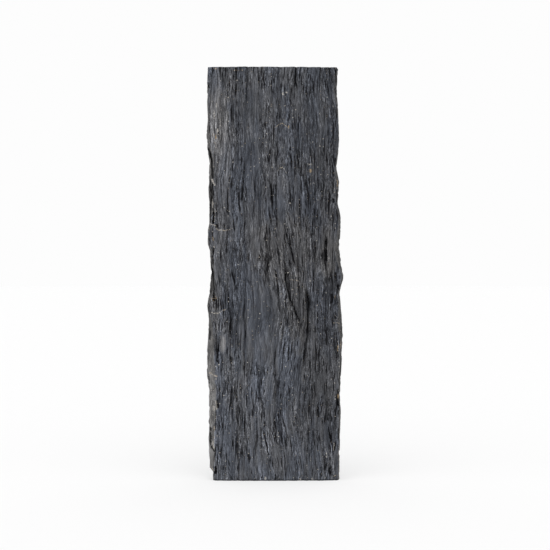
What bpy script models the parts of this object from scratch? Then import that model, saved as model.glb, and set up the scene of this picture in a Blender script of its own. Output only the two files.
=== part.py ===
"""A riven slate slab, standing on its lower sawn end.

One solid. The two broad faces are split along the grain, the long sides are broken by
hand, and both ends are sawn flat. The front faces -Y and the grain runs along Z.
The forms are worked out in millimetres and written to the mesh in metres.
"""
import bmesh
import bpy
from mathutils import Vector, noise

MM = 0.001

# Driving dimensions, in millimetres.
HEIGHT = 750.0        # from sawn end to sawn end
THICKNESS = 50.0      # between the proudest ridges of the two faces
CELLS_ACROSS = 38     # mesh cells over the width
CELLS_DEEP = 5        # over the thickness, one for each bed of slate
CELLS_UP = 52         # over the height

SLATE_COLOUR = (0.060, 0.064, 0.072, 1.0)
SLATE_ROUGHNESS = 0.62

# The broken sides as (height, reach from the middle), from the top end down.
LEFT_SIDE = [
    (750, 122.5), (725, 124.2), (695, 124.4), (657, 123.0), (632, 125.6), (616, 125.4),
    (594, 122.7), (581, 120.2), (530, 122.0), (505, 120.8), (467, 120.0), (454, 123.0),
    (429, 122.9), (416, 119.0), (378, 116.8), (352, 119.0), (314, 124.3), (289, 121.1),
    (225, 124.9), (187, 124.4), (162, 120.9), (60, 122.2), (34, 119.5), (19, 119.6),
    (14, 113.2), (0, 112.6),
]
RIGHT_SIDE = [
    (750, 116.1), (708, 113.8), (683, 115.8), (619, 118.0), (594, 116.2), (568, 113.0),
    (543, 118.2), (505, 115.9), (479, 120.9), (467, 121.8), (422, 118.2), (390, 122.8),
    (376, 125.8), (364, 125.6), (352, 121.4), (340, 118.8), (314, 121.3), (263, 124.8),
    (200, 121.6), (149, 119.4), (124, 121.0), (60, 119.1), (0, 118.2),
]
# How far the front edge stands in from that reach, as (height, distance).
LEFT_SLOPE = [
    (750, 0.5), (700, 1.5), (640, 4.0), (585, 9.0), (490, 8.0), (478, 2.5), (430, 2.0),
    (400, 5.0), (370, 8.0), (335, 7.0), (322, 3.0), (295, 3.0), (275, 8.0), (245, 12.0),
    (200, 15.0), (150, 13.0), (40, 10.0), (20, 7.0), (12, 0.5), (0, 0.5),
]
RIGHT_SLOPE = [
    (750, 3.0), (690, 3.0), (650, 1.0), (600, 1.0), (560, 2.5), (505, 3.0), (490, 4.0),
    (460, 5.0), (430, 6.0), (400, 8.0), (385, 4.0), (355, 3.0), (340, 5.0), (320, 3.0),
    (300, 6.0), (280, 8.0), (250, 4.0), (200, 3.0), (0, 2.0),
]
# The back edge stands in by these amounts, as (height, distance).
BACK_SLOPE = [(750, 3.0), (600, 8.0), (470, 3.0), (330, 9.0), (180, 4.0), (60, 10.0), (0, 3.0)]

# Where the grain swings sideways, as (height, shift), and the band of the face it fills.
GRAIN_SWING = [(750, 0), (480, 0), (300, 20), (120, 0), (10, 15), (0, 15)]
SWING_MIDDLE = 22.0
SWING_REACH = 52.0

# How deep the seam behind the front sheet lies open on each side, as (height, depth).
LEFT_SEAM = [
    (750, 0), (690, 0), (680, 5), (600, 8), (585, 11), (490, 10), (478, 0), (430, 0),
    (405, 4), (375, 11), (335, 9), (322, 0), (295, 0), (280, 7), (262, 5), (245, 3),
    (100, 2), (20, 1), (12, 0), (0, 0),
]
RIGHT_SEAM = [
    (750, 6), (690, 6), (660, 0), (530, 0), (520, 4), (505, 5), (470, 3), (430, 4),
    (385, 5), (370, 1), (340, 5), (310, 3), (250, 7), (150, 7), (130, 0), (90, 5),
    (20, 0), (0, 0),
]

# Open cracks in the front face: the line as (height, x) running down, the depth, and how far
# the surface stays low on the right of the line (on the left when below nought).
CRACKS = [
    ([(478, 13), (455, 18), (430, 25), (405, 33), (385, 38)], 3.4, 9),
    ([(392, 17), (378, 19), (354, 21), (330, 28), (305, 38), (288, 46)], 4.0, 9),
    ([(345, 57), (329, 60), (300, 59), (263, 58), (245, 55), (215, 53)], 5.4, 9),
    ([(215, -33), (195, -30), (172, -26), (146, -30)], 3.4, 7),
    ([(205, 1), (187, -1), (172, 4), (150, 5)], 3.6, 6),
    ([(240, 26), (218, 29), (198, 31)], 3.0, 6),
    ([(750, -71), (722, -72), (696, -71)], 4.2, 5),
    ([(750, 38), (728, 37), (704, 39)], 3.2, 6),
    ([(312, -83), (290, -80), (268, -82), (255, -79)], 4.6, 6),
    ([(384, -80), (362, -74), (340, -68)], 3.2, 7),
    ([(130, 8), (105, 10), (72, 12), (40, 18), (8, 20)], 2.8, 12),
    ([(140, -69), (110, -68), (70, -70), (40, -66), (0, -67)], 3.4, 6),
    ([(540, 76), (525, 74), (512, 71)], 3.0, -6),
    ([(700, 5), (660, 8), (610, 3), (580, 6)], 1.8, 10),
    ([(650, 44), (600, 40), (560, 46)], 2.0, -9),
    ([(560, -40), (520, -36), (470, -42)], 1.7, 9),
    ([(330, -55), (300, -58), (270, -54), (240, -57)], 2.4, 7),
    ([(480, 70), (440, 66), (400, 72), (360, 69)], 2.0, 9),
    ([(240, -100), (215, -96), (190, -98)], 2.6, 7),
    ([(150, 60), (110, 66), (60, 72), (20, 76)], 2.2, 9),
    ([(447, 93), (415, 91), (381, 94)], 3.4, -6),
    ([(546, -10), (530, -7.5), (512, -6), (484, -4.5)], 5.0, 5),
    ([(548, 56), (528, 57), (511, 56), (490, 57)], 3.8, 5),
]
# Lens-shaped tongues that stand proud or, below nought, lie deep:
# middle x, middle z, half width, half height, rise.
TONGUES = [
    (12, 522, 9, 44, 2.2), (-9, 182, 8, 74, 2.0), (93, 340, 13, 26, -4.5),
    (67, 565, 7, 14, -2.5), (-104, 246, 6, 12, -4.0), (-92, 236, 5, 22, 1.6),
    (104, 292, 11, 30, 2.5), (-60, 640, 26, 70, 1.4), (60, 640, 22, 60, -1.4),
    (45, 120, 16, 60, -1.8), (-70, 120, 20, 80, 1.4), (100, 415, 6, 34, 2.4),
    (114, 370, 9, 18, 2.6),
]
# Short ledges across the grain where a sheet ends: the line as (x, height) running right, the
# rise and how far down it reaches.
LEDGES = [
    ([(-118, 468), (-110, 461), (-101, 454), (-91, 452), (-84, 455)], 1.5, 26),
    ([(-116, 310), (-106, 304), (-96, 307), (-86, 314), (-80, 322)], 1.4, 22),
    ([(26, 365), (33, 364), (44, 362)], 1.0, 14),
    ([(98, 314), (106, 301), (113, 290), (120, 283)], 1.8, 20),
    ([(4, 560), (8, 567), (14, 568), (21, 558)], 1.2, 20),
    ([(0, 640), (12, 648), (26, 638)], 0.9, 16),
]


def between(points, height):
    """Straight-line value at a height, from (height, value) points running down."""
    upper = points[0]
    if height >= upper[0]:
        return upper[1]
    for lower in points[1:]:
        if height >= lower[0]:
            share = (height - lower[0]) / (upper[0] - lower[0])
            return lower[1] + (upper[1] - lower[1]) * share
        upper = lower
    return points[-1][1]


def fade(value, low, high):
    """0 below low, 1 above high and a smooth rise between them."""
    share = min(max((value - low) / (high - low), 0.0), 1.0)
    return share * share * (3.0 - 2.0 * share)


def waves(x, z, wide, tall, seed):
    """Smooth noise from about -1 to 1, stretched along the grain."""
    return 1.6 * noise.noise(Vector((x / wide, z / tall, seed)))


def grain(x, z):
    """The x that a grain line through this point has where the grain runs straight."""
    swing = between(GRAIN_SWING, z) * max(0.0, 1.0 - ((x - SWING_MIDDLE) / SWING_REACH) ** 2)
    return x - swing - 2.6 * waves(x, z, 70, 95, 4.1) - 1.0 * waves(x, z, 24, 38, 9.7)


def shingle(s, z, wide, tall, seed):
    """A long thin sheet: its step, how far this point is right of its middle, and its rim."""
    here = Vector((s / wide, z / tall, seed))
    distances, middles = noise.voronoi(here)
    step = noise.cell(middles[0] * 7.0)
    return step, here.x - middles[0].x, 1.0 - fade(distances[1] - distances[0], 0.0, 0.2)


def drawn_to_crack(x, z, gap):
    """The same x, or that of a crack passing within half a gap of it."""
    for line, depth, reach in CRACKS:
        if line[-1][0] - 4 <= z <= line[0][0] + 4 and abs(x - between(line, z)) < 0.48 * gap:
            return between(line, z)
    return x


def crack_depth(x, z):
    """Depth of the open cracks at a point of the front face."""
    deepest = 0.0
    for line, depth, reach in CRACKS:
        top, bottom = line[0][0], line[-1][0]
        ends = fade(z, bottom - 8, bottom + 12)
        if top < HEIGHT - 4:
            ends *= 1.0 - fade(z, top - 12, top + 8)
        off = (x - between(line, z)) * (1 if reach > 0 else -1)
        shelf = fade(off, -0.9, 0.5) * (1.0 - fade(off, 0.0, abs(reach)))
        cut = 1.0 - fade(abs(off), 0.5, 3.2)
        deepest = max(deepest, ends * depth * (0.4 * shelf + 0.6 * cut))
    return deepest


def tongue_rise(x, z):
    """Height of the lens-shaped tongues and hollows at a point of the front face."""
    rise = 0.0
    for middle_x, middle_z, half_width, half_height, peak in TONGUES:
        away = ((x - middle_x) / half_width) ** 2 + ((z - middle_z) / half_height) ** 2
        rise += peak * (1.0 - fade(away, 0.35, 1.25))
    return rise


def ledge_rise(x, z):
    """Rise of the surface just below the ends of the broken sheets."""
    rise = 0.0
    for line, peak, reach in LEDGES:
        left, right = line[0][0], line[-1][0]
        ends = fade(x, left - 3, left + 5) * (1.0 - fade(x, right - 5, right + 3))
        below = between([(-px, pz) for px, pz in line], -x) - z
        rise += peak * ends * fade(below, -2.0, 2.0) * (1.0 - fade(below, 2.0, reach))
    return rise


def worn_end(z):
    """How far the two faces fall away at the sawn ends."""
    return 1.3 * fade(z, HEIGHT - 6, HEIGHT) + 0.8 * (1.0 - fade(z, 0, 5))


def front_depth(x, z):
    """How far the front face lies behind its proudest plane."""
    s = grain(x, z)
    crown = 3.4 * ((x + 25.0) / 100.0) ** 2
    long_step, long_lean, long_rim = shingle(s, z, 23, 150, 1.5)
    short_step, short_lean, short_rim = shingle(s, z, 12, 70, 6.5)
    ridges = 1.2 * waves(s, z, 17, 130, 2.2) + 0.7 * waves(s, z, 8, 55, 8.8)
    layers = 1.1 * long_step - 1.4 * long_lean + 0.7 * long_rim
    layers += 0.8 * short_step - 1.1 * short_lean + 0.6 * short_rim
    broad = 1.3 * waves(x, z, 90, 230, 0.3) + 1.1 * waves(x, z, 26, 44, 5.9)
    rise = tongue_rise(x, z) + ledge_rise(x, z)
    return 4.0 + crown + broad + ridges + layers + crack_depth(x, z) + worn_end(z) - rise


def back_depth(x, z):
    """How far the back face lies in front of its proudest plane: broader, flatter beds."""
    s = x - 3.0 * waves(x, z, 80, 120, 14.1) - 1.0 * waves(x, z, 24, 38, 19.7)
    bed_step, bed_lean, bed_rim = shingle(s, z, 46, 190, 21.5)
    thin_step, thin_lean, thin_rim = shingle(s, z, 15, 90, 26.5)
    ridges = 1.2 * waves(s, z, 19, 140, 12.2) + 0.7 * waves(s, z, 8, 60, 18.8)
    layers = 1.8 * bed_step + 1.5 * bed_lean + 0.9 * bed_rim
    layers += 0.8 * thin_step + 0.9 * thin_lean + 0.5 * thin_rim
    broad = 2.0 * waves(x, z, 120, 260, 10.3) + 0.9 * waves(x, z, 28, 50, 15.9)
    return 4.6 + broad + ridges + layers + worn_end(z)


def side_form(side, slope, seam, z, share, seed):
    """Reach of a broken side and how far its open seam sends the stone back.

    The share runs from 0 at the front edge to 1 at the back edge.
    """
    widest = 0.66 + 0.14 * waves(0.0, z, 1.0, 160, seed)
    front_run = max(0.0, 1.0 - share / widest)
    back_run = max(0.0, (share - widest) / (1.0 - widest))
    inset = between(slope, z) * front_run ** 1.3 + between(BACK_SLOPE, z) * back_run ** 1.5
    opening = between(seam, z) * fade(share, 0.03, 0.1) * (1.0 - fade(share, 0.3, 0.42))
    deep = share * THICKNESS
    bed = noise.cell(Vector(((deep + 1.6 * waves(z, 0.0, 90, 1.0, seed + 2.0)) / 3.4, 0.5, seed)))
    scar = shingle(deep + 6, z, 13, 20, seed + 3.0)[0]
    broken = fade(inset, 0.0, 2.5) * max(0.0, 1.0 + 0.9 * bed + 0.9 * scar)
    return between(side, z) - inset - broken, 0.7 * opening


def shape_point(across, deep, up):
    """Place of one grid point, each share running from 0 to 1."""
    z = up * HEIGHT
    left, left_opening = side_form(LEFT_SIDE, LEFT_SLOPE, LEFT_SEAM, z, deep, 31.0)
    right, right_opening = side_form(RIGHT_SIDE, RIGHT_SLOPE, RIGHT_SEAM, z, deep, 47.0)
    x = -left + (right + left) * across
    if deep == 0.0 and 0.0 < across < 1.0:
        x = drawn_to_crack(x, z, (right + left) / CELLS_ACROSS)
    front = -THICKNESS / 2 + max(0.0, front_depth(x, z))
    back = THICKNESS / 2 - max(0.0, back_depth(x, z))
    y = front + (back - front) * deep
    if across == 0.0:
        y += left_opening
    if across == 1.0:
        y += right_opening
    return Vector((x, y, z)) * MM


def subdivide_along(mesh, axis, cells):
    """Cut every edge that runs along one axis into the given number of cells."""
    edges = [edge for edge in mesh.edges if abs((edge.verts[0].co - edge.verts[1].co)[axis]) > 0.5]
    bmesh.ops.subdivide_edges(mesh, edges=edges, cuts=cells - 1, use_grid_fill=True)


def slab_mesh():
    """The closed skin of the slab: a unit block cut into cells, each point set in place."""
    mesh = bmesh.new()
    bmesh.ops.create_cube(mesh, size=1.0)
    for vertex in mesh.verts:
        vertex.co += Vector((0.5, 0.5, 0.5))
    subdivide_along(mesh, 2, CELLS_UP)
    subdivide_along(mesh, 0, CELLS_ACROSS)
    subdivide_along(mesh, 1, CELLS_DEEP)
    for vertex in mesh.verts:
        vertex.co = shape_point(*vertex.co)
    centre_on_base(mesh)
    bmesh.ops.triangulate(mesh, faces=mesh.faces)
    bmesh.ops.recalc_face_normals(mesh, faces=mesh.faces)
    return mesh


def centre_on_base(mesh):
    """Move the points so that their box is centred over the origin, with its base at z = 0."""
    low = Vector([min(vertex.co[axis] for vertex in mesh.verts) for axis in range(3)])
    high = Vector([max(vertex.co[axis] for vertex in mesh.verts) for axis in range(3)])
    middle = (low + high) / 2
    for vertex in mesh.verts:
        vertex.co -= Vector((middle.x, middle.y, low.z))


def slate_material():
    """Blue-grey slate, neither glossy nor chalky."""
    material = bpy.data.materials.new("slate")
    material.use_nodes = True
    shader = material.node_tree.nodes["Principled BSDF"]
    shader.inputs["Base Color"].default_value = SLATE_COLOUR
    shader.inputs["Roughness"].default_value = SLATE_ROUGHNESS
    shader.inputs["Metallic"].default_value = 0.0
    return material


def make_slab():
    mesh = slab_mesh()
    data = bpy.data.meshes.new("slate_slab")
    mesh.to_mesh(data)
    mesh.free()
    data.materials.append(slate_material())
    slab = bpy.data.objects.new("slate_slab", data)
    bpy.context.scene.collection.objects.link(slab)


for old in list(bpy.data.objects):
    bpy.data.objects.remove(old, do_unlink=True)
make_slab()
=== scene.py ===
import math

import bpy
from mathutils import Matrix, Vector, noise


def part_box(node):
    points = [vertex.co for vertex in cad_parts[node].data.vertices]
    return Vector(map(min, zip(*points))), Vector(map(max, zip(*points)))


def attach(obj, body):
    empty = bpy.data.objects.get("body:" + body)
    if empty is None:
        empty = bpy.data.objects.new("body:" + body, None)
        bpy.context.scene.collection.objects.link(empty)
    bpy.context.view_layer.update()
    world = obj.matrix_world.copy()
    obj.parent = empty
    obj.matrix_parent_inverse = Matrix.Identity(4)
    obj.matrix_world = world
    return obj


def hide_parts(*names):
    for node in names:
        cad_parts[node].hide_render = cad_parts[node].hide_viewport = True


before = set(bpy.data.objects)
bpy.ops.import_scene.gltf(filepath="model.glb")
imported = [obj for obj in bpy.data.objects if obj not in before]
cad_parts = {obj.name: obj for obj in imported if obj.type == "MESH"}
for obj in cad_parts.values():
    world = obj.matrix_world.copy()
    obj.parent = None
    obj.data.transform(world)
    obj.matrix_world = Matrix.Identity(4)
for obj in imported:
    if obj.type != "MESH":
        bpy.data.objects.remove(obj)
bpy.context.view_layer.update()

mm = 0.001

view = {
    "focal": 88.3,       # millimetres
    "sensorWidth": 36,   # millimetres
    "distance": 2.462,   # metres from the origin, in front of the slab
    "eyeHeight": 0.3727,
    "farClip": 60,
}
studio = {
    "backdropWhite": 0.982,   # what the lens sees behind the slab
    "ambient": 0.42,          # what comes from all round
    "floorRadius": 40,        # metres, so that its rim is out of sight
    "floorWhite": 0.45,
    "floorRoughness": 0.9,
    "floorGlow": 0.444,       # the floor is a light table
    "lampDistance": 4,        # only where the lamps are drawn, since they are suns
    # each lamp: strength, softness in degrees, degrees round from the front (left is below nought)
    # and degrees up
    "lamps": {
        "keyLamp": (1.43, 80, -27, 54),
        "fillLamp": (1.075, 80, 27, 54),
        "backLamp": (0.55, 80, 175, 60),
    },
}


def addCamera():
    bpy.ops.object.camera_add(location=(0, -view["distance"], view["eyeHeight"]))
    camera = bpy.context.object
    camera.name = "slabCamera"
    camera.rotation_euler = Vector((0, 1, 0)).to_track_quat("-Z", "Y").to_euler()
    camera.data.lens = view["focal"]
    camera.data.sensor_width = view["sensorWidth"]
    camera.data.clip_end = view["farClip"]
    bpy.context.scene.camera = camera


def addLamp(name, strength, softness, turn, rise):
    turn, rise = math.radians(turn), math.radians(rise)
    way = Vector((math.sin(turn) * math.cos(rise), -math.cos(turn) * math.cos(rise), math.sin(rise)))
    bpy.ops.object.light_add(type="SUN", location=way * studio["lampDistance"])
    lamp = bpy.context.object
    lamp.name = name
    lamp.data.energy = strength
    lamp.data.angle = math.radians(softness)
    lamp.rotation_euler = (-way).to_track_quat("-Z", "Y").to_euler()


def addWorld():
    world = bpy.data.worlds.new("whiteStudio")
    bpy.context.scene.world = world
    world.use_nodes = True
    tree = world.node_tree
    tree.nodes.clear()
    mix = tree.nodes.new("ShaderNodeMixShader")
    # socket 1 lights the slab, socket 2 is what the lens sees
    for socket, strength in ((1, studio["ambient"]), (2, studio["backdropWhite"])):
        glow = tree.nodes.new("ShaderNodeBackground")
        glow.inputs["Color"].default_value = (1, 1, 1, 1)
        glow.inputs["Strength"].default_value = strength
        tree.links.new(glow.outputs["Background"], mix.inputs[socket])
    path = tree.nodes.new("ShaderNodeLightPath")
    out = tree.nodes.new("ShaderNodeOutputWorld")
    tree.links.new(path.outputs["Is Camera Ray"], mix.inputs["Fac"])
    tree.links.new(mix.outputs["Shader"], out.inputs["Surface"])


def addFloor():
    bpy.ops.mesh.primitive_circle_add(vertices=96, radius=studio["floorRadius"], fill_type="NGON",
                                      location=(0, 0, 0))
    floor = bpy.context.object
    floor.name = "floor"
    paint = bpy.data.materials.new("whiteFloor")
    paint.use_nodes = True
    shader = paint.node_tree.nodes["Principled BSDF"]
    shader.inputs["Base Color"].default_value = (studio["floorWhite"],) * 3 + (1,)
    shader.inputs["Roughness"].default_value = studio["floorRoughness"]
    shader.inputs["Specular IOR Level"].default_value = 0.0
    shader.inputs["Emission Color"].default_value = (1, 1, 1, 1)
    shader.inputs["Emission Strength"].default_value = studio["floorGlow"]
    floor.data.materials.append(paint)


bpy.context.scene.view_settings.view_transform = "Standard"
addCamera()
addWorld()
addFloor()
for lampName, lampValues in studio["lamps"].items():
    addLamp(lampName, *lampValues)
print("camera, light and floor are in place")

# the slab's form, in millimetres: x to the right, z up, heights from the lower sawn end
slab = {
    "height": 750.0,
    "thickness": 50.0,
    # the block is cut into the first number of cells, then each of them into the second
    "cellsAcross": (60, 3),
    "cellsDeep": (11, 2),
    "cellsUp": (75, 3),
    # the broken sides: height, reach from the middle
    "leftSide": [
        (750, 122.5), (725, 124.2), (695, 124.4), (657, 123.0), (632, 125.6), (616, 125.4),
        (594, 122.7), (581, 120.2), (530, 122.0), (505, 120.8), (467, 120.0), (454, 123.0),
        (429, 122.9), (416, 119.0), (378, 116.8), (352, 119.0), (314, 124.3), (289, 121.1),
        (225, 124.9), (187, 124.4), (162, 120.9), (60, 122.2), (34, 119.5), (19, 119.6),
        (14, 113.2), (0, 112.6),
    ],
    "rightSide": [
        (750, 116.1), (708, 113.8), (683, 115.8), (619, 118.0), (594, 116.2), (568, 113.0),
        (543, 118.2), (505, 115.9), (479, 120.9), (467, 121.8), (422, 118.2), (390, 122.8),
        (376, 125.8), (364, 125.6), (352, 121.4), (340, 118.8), (314, 121.3), (263, 124.8),
        (200, 121.6), (149, 119.4), (124, 121.0), (60, 119.1), (0, 118.2),
    ],
    # how far the front edge stands in from that reach
    "leftSlope": [
        (750, 0.5), (700, 1.5), (640, 4.0), (585, 9.0), (490, 8.0), (478, 2.5), (430, 2.0),
        (400, 5.0), (370, 8.0), (335, 7.0), (322, 3.0), (295, 3.0), (275, 8.0), (245, 12.0),
        (200, 15.0), (150, 13.0), (40, 10.0), (20, 7.0), (12, 0.5), (0, 0.5),
    ],
    "rightSlope": [
        (750, 3.0), (690, 3.0), (650, 1.0), (600, 1.0), (560, 2.5), (505, 3.0), (490, 4.0),
        (460, 5.0), (430, 6.0), (400, 8.0), (385, 4.0), (355, 3.0), (340, 5.0), (320, 3.0),
        (300, 6.0), (280, 8.0), (250, 4.0), (200, 3.0), (0, 2.0),
    ],
    "backSlope": [
        (750, 3.0), (600, 8.0), (470, 3.0), (330, 9.0), (180, 4.0), (60, 10.0), (0, 3.0),
    ],
    # depth of the open seam behind the front sheet, by height
    "leftSeam": [
        (750, 0), (690, 0), (680, 5), (600, 8), (585, 11), (490, 10), (478, 0), (430, 0),
        (405, 4), (375, 11), (335, 9), (322, 0), (295, 0), (280, 7), (262, 5), (245, 3),
        (100, 2), (20, 1), (12, 0), (0, 0),
    ],
    "rightSeam": [
        (750, 6), (690, 6), (660, 0), (530, 0), (520, 4), (505, 5), (470, 3), (430, 4),
        (385, 5), (370, 1), (340, 5), (310, 3), (250, 7), (150, 7), (130, 0), (90, 5), (20, 0),
        (0, 0),
    ],
    # where the grain swings sideways: height, shift, and the band of the face it fills
    "grainSwing": [(750, 0), (480, 0), (300, 20), (120, 0), (10, 15), (0, 15)],
    "swingMiddle": 22.0,
    "swingReach": 52.0,
    # open cracks on the front: the line as (height, x) running down, depth, and how far the
    # surface stays low on the right of it (on the left where this is below nought)
    "cracks": [
        ([(478, 13), (455, 18), (430, 25), (405, 33), (385, 38)], 3.4, 9),
        ([(392, 16), (378, 18), (354, 20), (330, 27), (305, 37), (288, 45)], 5.2, 10),
        ([(345, 57), (329, 60), (300, 59), (263, 58), (245, 55), (215, 53)], 6.4, 10),
        ([(215, -33), (195, -30), (172, -26), (146, -30)], 3.4, 7),
        ([(205, 1), (187, -1), (172, 4), (150, 5)], 3.6, 6),
        ([(240, 26), (218, 29), (198, 31)], 3.0, 6),
        ([(175, 22), (165, 25), (150, 27)], 3.2, 5),
        ([(750, -71), (722, -72), (696, -71)], 4.2, 5),
        ([(750, 38), (728, 37), (704, 39)], 3.2, 6),
        ([(312, -83), (290, -80), (268, -82), (255, -79)], 4.6, 6),
        ([(384, -80), (362, -74), (340, -68)], 3.2, 7),
        ([(102, -6), (88, -1), (70, 2)], 3.0, 6),
        ([(130, 8), (105, 10), (72, 12), (40, 18), (8, 20)], 2.8, 12),
        ([(140, -69), (110, -68), (70, -70), (40, -66), (0, -67)], 3.4, 6),
        ([(540, 76), (525, 74), (512, 71)], 3.0, -6),
        ([(700, 5), (660, 8), (610, 3), (580, 6)], 1.8, 10),
        ([(650, 44), (600, 40), (560, 46)], 2.0, -9),
        ([(560, -40), (520, -36), (470, -42)], 1.7, 9),
        ([(450, -18), (400, -14), (350, -20)], 1.6, 8),
        ([(330, -55), (300, -58), (270, -54), (240, -57)], 2.4, 7),
        ([(480, 70), (440, 66), (400, 72), (360, 69)], 2.0, 9),
        ([(680, -100), (640, -96), (600, -99)], 1.6, 8),
        ([(240, -100), (215, -96), (190, -98)], 2.6, 7),
        ([(150, 60), (110, 66), (60, 72), (20, 76)], 2.2, 9),
        ([(447, 93), (415, 91), (381, 94)], 3.4, -6),
        ([(592, 0.5), (576, 0.5)], 4.6, 4),
        ([(593, 28), (563, 29)], 3.4, 5),
        ([(546, -10), (530, -7.5), (512, -6), (484, -4.5)], 5.0, 5),
        ([(530, 20), (519, 21)], 4.6, 3),
        ([(548, 56), (528, 57)], 4.2, 4),
        ([(511, 56), (490, 57)], 3.8, 5),
        ([(528, -60), (505, -60)], 3.2, 5),
        ([(518, 31), (498, 32)], 3.2, 4),
        ([(484, 34), (476, 35)], 4.4, 3),
        ([(176, -80), (140, -79), (111, -77)], 2.6, 8),
        ([(125, -64), (112, -63)], 4.4, 3),
        ([(133, -41), (111, -40)], 4.2, 3),
        ([(181, -32), (160, -28), (134, -22), (124, -21)], 3.6, 4),
        ([(131, -92), (118, -91)], 4.2, 3),
        ([(102, -89), (94, -88)], 4.2, 3),
        ([(96, -73), (84, -68), (54, -67)], 3.6, 4),
        ([(99, -60), (87, -60)], 4.2, 3),
        ([(95, -26), (85, -26)], 4.2, 3),
        ([(392, 106), (372, 103), (352, 106)], 3.2, -5),
    ],
    # lens-shaped tongues, proud or (below nought) deep: x, z, half width, half height, rise
    "tongues": [
        (12, 522, 9, 44, 2.2), (-9, 182, 8, 74, 2.0), (93, 340, 13, 26, -4.5),
        (67, 565, 7, 14, -2.5), (-104, 246, 6, 12, -4.0), (-92, 236, 5, 22, 1.6),
        (104, 292, 11, 30, 2.5), (-60, 640, 26, 70, 1.4), (60, 640, 22, 60, -1.4),
        (45, 120, 16, 60, -1.8), (-70, 120, 20, 80, 1.4), (100, 415, 6, 34, 2.4),
        (114, 370, 9, 18, 2.6), (109, 293, 4, 4.5, -2.6),
    ],
    # short ledges across the grain where a sheet ends: (x, height) to the right, rise, reach down
    "ledges": [
        ([(-118, 466), (-113.5, 464), (-106.5, 461)], 0.8, 10),
        ([(-109.5, 457), (-100, 454), (-90, 453), (-81, 455)], 1.5, 24),
        ([(-116, 304), (-104, 303), (-97.5, 307), (-88.5, 311)], 1.4, 22),
        ([(-121.5, 194), (-113.5, 191), (-105, 189)], 1.2, 12),
        ([(-118, 25), (-114.5, 20), (-109.5, 18)], 0.8, 8),
        ([(-3, 372), (5, 366)], 1.0, 12),
        ([(26, 365), (33, 364), (44, 362)], 1.0, 14),
        ([(106.5, 286), (111.5, 287), (118.5, 284)], 1.4, 14),
        ([(108, 301), (111.5, 297)], 0.8, 8),
        ([(4, 560), (8, 567), (14, 568), (21, 558)], 1.2, 20),
        ([(0, 640), (12, 648), (26, 638)], 0.9, 16),
        ([(106.5, 7), (113.5, 10)], 0.5, 4),
    ],
    # narrow cuts seen from the front, set back and painted black as shade: the line as (x, height) running
    # down, width, depth
    "cuts": [
        ([(-121, 605), (-118, 594), (-115.5, 585), (-115, 574), (-114, 561), (-112.5, 549)], 3.4, 5),
        ([(-118, 547), (-118.5, 536), (-117, 525)], 2.6, 4),
        ([(-113.5, 536), (-113.5, 515), (-113.5, 505)], 4.0, 6),
        ([(-111.5, 500), (-111.5, 482), (-112, 468)], 3.0, 5),
        ([(-118, 500), (-118, 468)], 2.4, 4),
        ([(-106, 464), (-105, 459)], 2.4, 3),
        ([(-111, 421), (-111.5, 414)], 2.2, 3),
        ([(-113.5, 405), (-112.5, 394)], 3.0, 4),
        ([(-114, 383), (-111.5, 371), (-111, 353), (-110.5, 327)], 3.4, 5),
        ([(-118, 270), (-118.5, 255)], 1.6, 2),
        ([(-102.5, 239), (-104.5, 226), (-104.5, 217)], 1.8, 3),
        ([(-104.5, 146), (-104, 132)], 2.8, 5),
        ([(-117, 92), (-117.5, 64), (-114, 59), (-110.5, 54)], 3.6, 5),
        ([(-107.5, 24), (-107.5, 14)], 3.6, 4),
        ([(-120.5, 187), (-119.5, 172)], 1.6, 2),
        ([(-120, 722), (-119.5, 711)], 1.8, 2),
        ([(-119, 644), (-119.5, 630)], 1.6, 2),
        ([(111, 747), (111, 722)], 2.2, 3),
        ([(110.5, 713), (111, 702)], 1.6, 2),
        ([(109, 583), (110, 570)], 2.0, 2),
        ([(113, 529), (112.5, 507)], 2.6, 4),
        ([(107, 511), (107, 504)], 1.8, 3),
        ([(93.5, 439), (93.5, 417), (93.5, 398)], 2.4, 4),
        ([(115, 353), (115.5, 342)], 2.6, 3),
        ([(103.5, 336), (102.5, 322)], 3.4, 3),
        ([(117.5, 194), (117.5, 167)], 2.2, 3),
        ([(114.5, 163), (114.5, 147), (114.5, 136)], 3.0, 5),
        ([(97.5, 97), (99, 86), (100.5, 75)], 1.6, 3),
        ([(78.5, 133), (79, 117)], 1.6, 2.5),
        ([(115.5, 93), (115.5, 77)], 1.8, 2),
        ([(109, 66), (108.5, 55)], 1.6, 3),
        ([(100, 23), (100, 14)], 1.6, 3),
    ],
    # thin pale lines along broken edges: the line as (x, height) running down, width, ochre share
    "veins": [
        ([(-115.5, 547), (-111.5, 540), (-107.5, 535)], 3.8, 0.0),
        ([(-113.5, 512), (-113, 497)], 2.4, 0.0),
        ([(-109, 497), (-109.5, 470)], 0.8, 0.45),
        ([(-108, 333), (-106.5, 329)], 1.6, 1.0),
        ([(-112.5, 441), (-112, 435)], 1.4, 0.8),
        ([(-111.5, 425), (-109, 422)], 2.2, 0.2),
        ([(-114, 331), (-111.5, 327)], 2.0, 1.0),
        ([(-116.5, 202), (-116, 199)], 2.6, 0.0),
        ([(-101.5, 210), (-107, 207), (-108.5, 202)], 1.8, 0.15),
        ([(-107.5, 219), (-115, 218)], 1.8, 0.1),
        ([(-121, 195), (-113.5, 192), (-105, 189)], 2.4, 0.5),
        ([(-106.5, 188), (-107, 184)], 1.6, 0.1),
        ([(-107, 143), (-106.5, 136), (-106, 130)], 3.6, 0.0),
        ([(-107.5, 120), (-108.5, 112)], 0.8, 0.5),
        ([(-109.5, 98), (-110, 90)], 0.6, 0.6),
        ([(-110, 82), (-110, 74)], 0.6, 0.8),
        ([(-113.5, 70), (-112.5, 64), (-111, 58)], 4.2, 0.0),
        ([(114.5, 551), (114, 534)], 2.0, 0.8),
        ([(109, 335), (109, 331)], 2.2, 0.6),
        ([(116, 338), (116, 335)], 1.6, 0.8),
        ([(115, 244), (114.5, 237)], 2.0, 0.6),
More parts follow.
